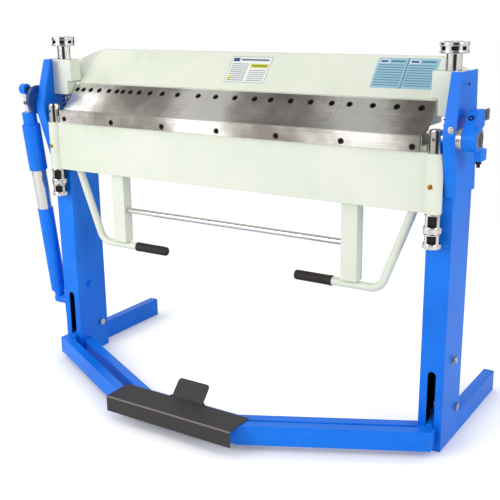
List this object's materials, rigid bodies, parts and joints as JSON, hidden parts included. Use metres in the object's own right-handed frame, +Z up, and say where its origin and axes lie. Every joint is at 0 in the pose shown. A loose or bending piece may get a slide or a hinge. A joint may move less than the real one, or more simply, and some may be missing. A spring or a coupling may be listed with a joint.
{
  "type": "finger brake",
  "caption": "Free-standing foot-operated finger brake with clamping beam, removable fingers, swinging bending leaf, treadle and spring strut.",
  "frame": {"origin": "on the floor, at the centre of the bounding box across and front to back", "axes": "+X along the bending line to the right as seen from the front, -Y towards the operator, +Z up"},
  "size_m": [1.5986, 0.8244, 1.1324],
  "materials": {
    "blue_paint": "gloss",
    "cream_paint": "satin",
    "ground_steel": "ground",
    "chrome_plate": "polished",
    "black_steel": "oiled",
    "grip_rubber": "matt",
    "tread_coat": "coarse",
    "spring_steel": "drawn"
  },
  "bodies": {
    "frame": {"column_left": "blue_paint", "column_right": "blue_paint", "rear_foot_left": "blue_paint", "rear_foot_right": "blue_paint", "floor_frame": "blue_paint", "head_left": "blue_paint", "head_right": "blue_paint", "bed_beam": "cream_paint", "bed_bar": "ground_steel", "treadle_pin_left": "chrome_plate", "treadle_pin_right": "chrome_plate", "rod_guide_left": "black_steel", "rod_guide_right": "black_steel", "lift_spring_left": "spring_steel", "lift_spring_right": "spring_steel", "strut_bracket": "blue_paint"},
    "swing": {"trunnion_left": "chrome_plate", "trunnion_right": "chrome_plate", "angle_ring": "chrome_plate", "crank_disc": "blue_paint"},
    "apron": {"leaf": "cream_paint", "leaf_bar": "ground_steel", "tie_rod": "chrome_plate", "handle_left": "cream_paint", "handle_right": "cream_paint", "grip_left": "grip_rubber", "grip_right": "grip_rubber"},
    "stop_collar": {"stop_collar": "blue_paint"},
    "thumb_screw": {"thumb_screw": "ground_steel"},
    "clamp": {"beam_bar": "cream_paint", "beam_sheet": "cream_paint", "finger_01": "ground_steel", "finger_02": "ground_steel", "finger_03": "ground_steel", "finger_04": "ground_steel", "finger_05": "ground_steel", "finger_06": "ground_steel", "finger_07": "ground_steel", "finger_08": "ground_steel", "finger_09": "ground_steel", "finger_10": "ground_steel", "finger_11": "ground_steel", "finger_12": "ground_steel", "guide_block_left": "cream_paint", "guide_block_right": "cream_paint", "clamp_rod_left": "chrome_plate", "clamp_rod_right": "chrome_plate", "sleeve_left": "chrome_plate", "sleeve_right": "chrome_plate"},
    "treadle": {"treadle": "blue_paint", "foot_plate": "tread_coat"},
    "release_tab": {"release_tab": "tread_coat"},
    "strut_tube": {"strut_tube": "blue_paint"},
    "strut_ram": {"strut_ram": "blue_paint"},
    "adjusting_nut_left": {"adjusting_nut_left": "chrome_plate"},
    "lock_nut_left": {"lock_nut_left": "chrome_plate"},
    "hand_knob_left": {"knob_left": "chrome_plate"},
    "adjusting_nut_right": {"adjusting_nut_right": "chrome_plate"},
    "lock_nut_right": {"lock_nut_right": "chrome_plate"},
    "hand_knob_right": {"knob_right": "chrome_plate"}
  },
  "joints": [
    {"name": "leaf_swing", "type": "hinge", "parent": "frame", "child": "swing", "pos_m": [0.0117, -0.10164, 0.898], "axis": [-1, 0, 0], "range_deg": [0, 135]},
    {"name": "leaf_height", "type": "slide", "parent": "swing", "child": "apron", "axis": [0, 0, 1], "range_m": [-0.01, 0]},
    {"name": "collar_setting", "type": "hinge", "parent": "swing", "child": "stop_collar", "pos_m": [0.7726, -0.10164, 0.898], "axis": [-1, 0, 0], "range_deg": [-90, 90]},
    {"name": "thumb_screw_turn", "type": "hinge", "parent": "stop_collar", "child": "thumb_screw", "pos_m": [0.7726, -0.03014, 0.9465], "axis": [0, 1, 0], "continuous": true},
    {"name": "clamp_lift", "type": "slide", "parent": "frame", "child": "clamp", "axis": [0, 0, 1], "range_m": [0, 0.037], "deforming": ["lift_spring_left", "lift_spring_right"]},
    {"name": "treadle_swing", "type": "hinge", "parent": "frame", "child": "treadle", "pos_m": [0.0117, 0.03286, 0.099], "axis": [-1, 0, 0], "range_deg": [0, 32.92]},
    {"name": "release_tab_tilt", "type": "hinge", "parent": "treadle", "child": "release_tab", "pos_m": [0.0117, -0.30506, 0.07505], "axis": [-1, 0, 0], "range_deg": [0, 20], "stiffness_Nm_per_rad": 2, "springref_deg": -2.86},
    {"name": "strut_tilt", "type": "hinge", "parent": "frame", "child": "strut_tube", "pos_m": [-0.7683, -0.03514, 0.19], "axis": [-1, 0, 0], "range_deg": [0, 6.36]},
    {"name": "strut_stroke", "type": "slide", "parent": "strut_tube", "child": "strut_ram", "axis": [0, -0.1156, 0.9933], "range_m": [-0.1001, 0]},
    {"name": "adjusting_nut_turn_left", "type": "hinge", "parent": "apron", "child": "adjusting_nut_left", "pos_m": [-0.6618, -0.10164, 0.667], "axis": [0, 0, 1], "continuous": true},
    {"name": "lock_nut_turn_left", "type": "hinge", "parent": "apron", "child": "lock_nut_left", "pos_m": [-0.6618, -0.10164, 0.627], "axis": [0, 0, 1], "continuous": true},
    {"name": "hand_knob_turn_left", "type": "hinge", "parent": "clamp", "child": "hand_knob_left", "pos_m": [-0.6708, -0.02814, 1.1024], "axis": [0, 0, 1], "continuous": true},
    {"name": "adjusting_nut_turn_right", "type": "hinge", "parent": "apron", "child": "adjusting_nut_right", "pos_m": [0.6852, -0.10164, 0.667], "axis": [0, 0, 1], "continuous": true},
    {"name": "lock_nut_turn_right", "type": "hinge", "parent": "apron", "child": "lock_nut_right", "pos_m": [0.6852, -0.10164, 0.627], "axis": [0, 0, 1], "continuous": true},
    {"name": "hand_knob_turn_right", "type": "hinge", "parent": "clamp", "child": "hand_knob_right", "pos_m": [0.6942, -0.02814, 1.1024], "axis": [0, 0, 1], "continuous": true}
  ],
  "couplings": [
    {"joint": "treadle_swing", "follows": "clamp_lift", "rad_per_m": 15.506},
    {"joint": "strut_tilt", "follows": "leaf_swing", "ratio": 0.046741},
    {"joint": "strut_stroke", "follows": "leaf_swing", "m_per_rad": -0.042253}
  ]
}
